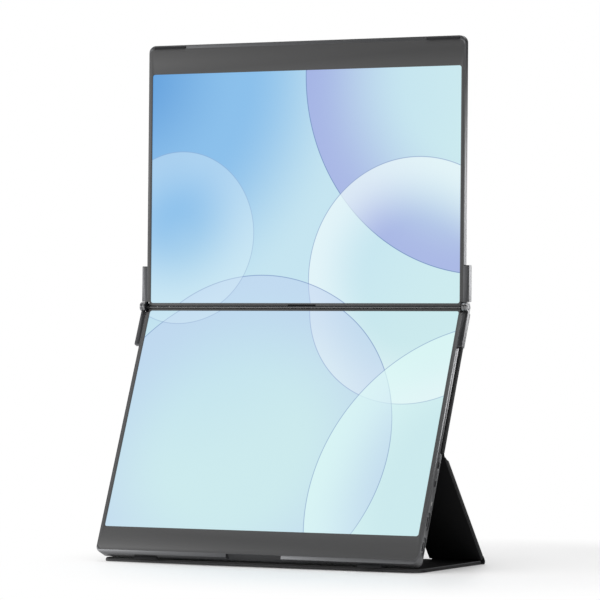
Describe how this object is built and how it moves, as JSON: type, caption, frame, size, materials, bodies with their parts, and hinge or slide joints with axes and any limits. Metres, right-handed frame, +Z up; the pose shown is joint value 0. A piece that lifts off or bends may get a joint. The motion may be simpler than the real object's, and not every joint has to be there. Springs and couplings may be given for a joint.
{
  "type": "folding dual-screen monitor with cover stand",
  "caption": "Folding dual-screen portable monitor, one screen above the other on side hinges, standing on its tri-fold magnetic leather-look cover.",
  "frame": {"origin": "on the table, at the middle of the model's width and depth", "axes": "+X to the right seen from the screens' side, the screens face -Y, +Z up"},
  "size_m": [0.3018, 0.1228, 0.4248],
  "materials": {
    "anodised_metal": "satin anodised grey",
    "hinge_metal": "satin anodised grey",
    "key_metal": "satin",
    "casing": "fine grained",
    "border": "satin moulded",
    "screen": "lit display under clear glass",
    "diffuser": "milky film",
    "flex_film": "smooth film",
    "circuit_board": "solder mask",
    "chip": "moulded",
    "spring_steel": "stamped",
    "screw_steel": "turned",
    "washer_brass": "ground",
    "lamp": "translucent lens",
    "dark_rubber": "soft matte",
    "black_plastic": "fine matte",
    "black_leather": "fine grain",
    "lining": "microfibre",
    "cover_board": "pressed board",
    "magnet": "plated"
  },
  "bodies": {
    "lower_display": {"lower_frame": "anodised_metal", "lower_rear_cover": "casing", "lower_bezel": "border", "lower_lcd": "screen", "lower_backlight": "diffuser", "lower_panel_flex": "flex_film", "main_board": "circuit_board", "board_chips": "chip", "shield_can": "spring_steel", "usb_port_a": "spring_steel", "usb_port_b": "spring_steel", "key_switches": "spring_steel", "status_light": "lamp", "lower_feet": "dark_rubber", "lower_screws": "screw_steel", "lower_arm_left": "hinge_metal", "lower_arm_right": "hinge_metal", "hinge_pin_left": "screw_steel", "hinge_pin_right": "screw_steel", "friction_washer_left": "washer_brass", "friction_washer_right": "washer_brass", "hinge_collar_left": "black_plastic", "hinge_collar_right": "black_plastic", "lower_arm_screws": "screw_steel", "link_cable_lower": "dark_rubber", "cover_pad": "black_plastic", "panel_skin": "black_leather", "panel_board": "cover_board", "panel_lining": "lining", "panel_magnets": "magnet", "hump_flap": "black_leather", "apex_crease": "black_leather"},
    "upper_display": {"upper_frame": "anodised_metal", "upper_rear_cover": "casing", "upper_bezel": "border", "upper_lcd": "screen", "upper_backlight": "diffuser", "upper_panel_flex": "flex_film", "driver_board": "circuit_board", "upper_bumpers": "dark_rubber", "indicator_dots": "lamp", "sensor_window": "chip", "upper_arm_left": "hinge_metal", "upper_arm_right": "hinge_metal", "upper_arm_screws": "screw_steel", "link_cable_upper": "dark_rubber"},
    "power_key": {"power_key": "key_metal"},
    "menu_key": {"menu_key": "key_metal"},
    "strut": {"strut_skin": "black_leather", "strut_board": "cover_board", "strut_lining": "lining", "rear_crease": "black_leather"},
    "base": {"base_skin": "black_leather", "base_board": "cover_board", "base_lining": "lining", "base_magnets": "magnet"}
  },
  "joints": [
    {"name": "screen_fold", "type": "hinge", "parent": "lower_display", "child": "upper_display", "pos_m": [0, 0.02097, 0.20746], "axis": [1, 0, 0], "range_deg": [-21.6, 158.4]},
    {"name": "strut_fold", "type": "hinge", "parent": "lower_display", "child": "strut", "pos_m": [0, -0.01313, 0.08992], "axis": [-1, 0, 0], "range_deg": [0, 61.48]},
    {"name": "base_fold", "type": "hinge", "parent": "strut", "child": "base", "pos_m": [0, 0.05952, 0.0022], "axis": [1, 0, 0], "range_deg": [0, 128.78]},
    {"name": "power_key_press", "type": "slide", "parent": "lower_display", "child": "power_key", "axis": [-1, 0, 0], "range_m": [0, 0.0004], "stiffness_N_per_m": 400, "springref_m": -0.0002},
    {"name": "menu_key_press", "type": "slide", "parent": "lower_display", "child": "menu_key", "axis": [-1, 0, 0], "range_m": [0, 0.0004], "stiffness_N_per_m": 400, "springref_m": -0.0002}
  ],
  "couplings": [
    {"joint": "base_fold", "follows": "strut_fold", "ratio": 2.0947}
  ]
}
